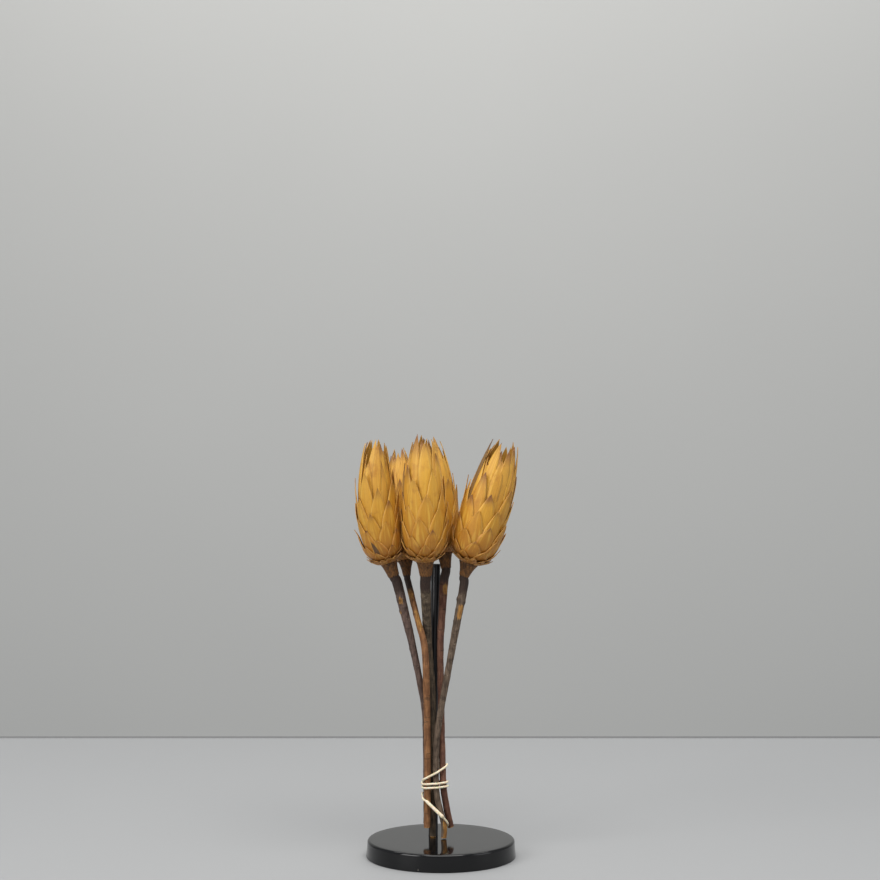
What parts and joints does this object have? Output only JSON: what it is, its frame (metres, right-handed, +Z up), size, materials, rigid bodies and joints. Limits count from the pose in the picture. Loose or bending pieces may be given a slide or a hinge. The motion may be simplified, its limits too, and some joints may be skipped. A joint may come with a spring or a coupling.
{
  "type": "dried protea flower bunch",
  "caption": "Dried protea flower heads on woody stems, bound by a rubber band to the slim post of a round black display stand.",
  "frame": {"origin": "centre of the round base's flat underside", "axes": "+Z up along the bunch, -Y towards the front, +X to the right seen from the front"},
  "size_m": [0.14, 0.13, 0.3663],
  "materials": {
    "black_lacquer": "gloss black lacquer",
    "black_post_paint": "satin black paint",
    "zinc_steel": "zinc plated",
    "bark": "rough dry bark",
    "scale_brown": "small dry scales",
    "bract_gold": "waxy golden dry bracts",
    "floret_brown": "dry fibres",
    "cream_latex": "matt cream rubber"
  },
  "bodies": {
    "root": {"stand_base": "black_lacquer", "stand_post": "black_post_paint", "post_screw": "zinc_steel", "rubber_band": "cream_latex", "left_stem": "bark", "left_neck_scales": "scale_brown", "left_bracts_1": "bract_gold", "left_bracts_2": "bract_gold", "left_bracts_3": "bract_gold", "left_bracts_4": "bract_gold", "left_bracts_5": "bract_gold", "left_bracts_6": "bract_gold", "left_bracts_7": "bract_gold", "left_florets": "floret_brown", "back_left_stem": "bark", "back_left_neck_scales": "scale_brown", "back_left_bracts_1": "bract_gold", "back_left_bracts_2": "bract_gold", "back_left_bracts_3": "bract_gold", "back_left_bracts_4": "bract_gold", "back_left_bracts_5": "bract_gold", "back_left_bracts_6": "bract_gold", "back_left_bracts_7": "bract_gold", "back_left_florets": "floret_brown", "front_stem": "bark", "front_neck_scales": "scale_brown", "front_bracts_1": "bract_gold", "front_bracts_2": "bract_gold", "front_bracts_3": "bract_gold", "front_bracts_4": "bract_gold", "front_bracts_5": "bract_gold", "front_bracts_6": "bract_gold", "front_bracts_7": "bract_gold", "front_florets": "floret_brown", "back_right_stem": "bark", "back_right_neck_scales": "scale_brown", "back_right_bracts_1": "bract_gold", "back_right_bracts_2": "bract_gold", "back_right_bracts_3": "bract_gold", "back_right_bracts_4": "bract_gold", "back_right_bracts_5": "bract_gold", "back_right_bracts_6": "bract_gold", "back_right_bracts_7": "bract_gold", "back_right_florets": "floret_brown", "right_stem": "bark", "right_neck_scales": "scale_brown", "right_bracts_1": "bract_gold", "right_bracts_2": "bract_gold", "right_bracts_3": "bract_gold", "right_bracts_4": "bract_gold", "right_bracts_5": "bract_gold", "right_bracts_6": "bract_gold", "right_bracts_7": "bract_gold", "right_florets": "floret_brown"}
  },
  "joints": []
}
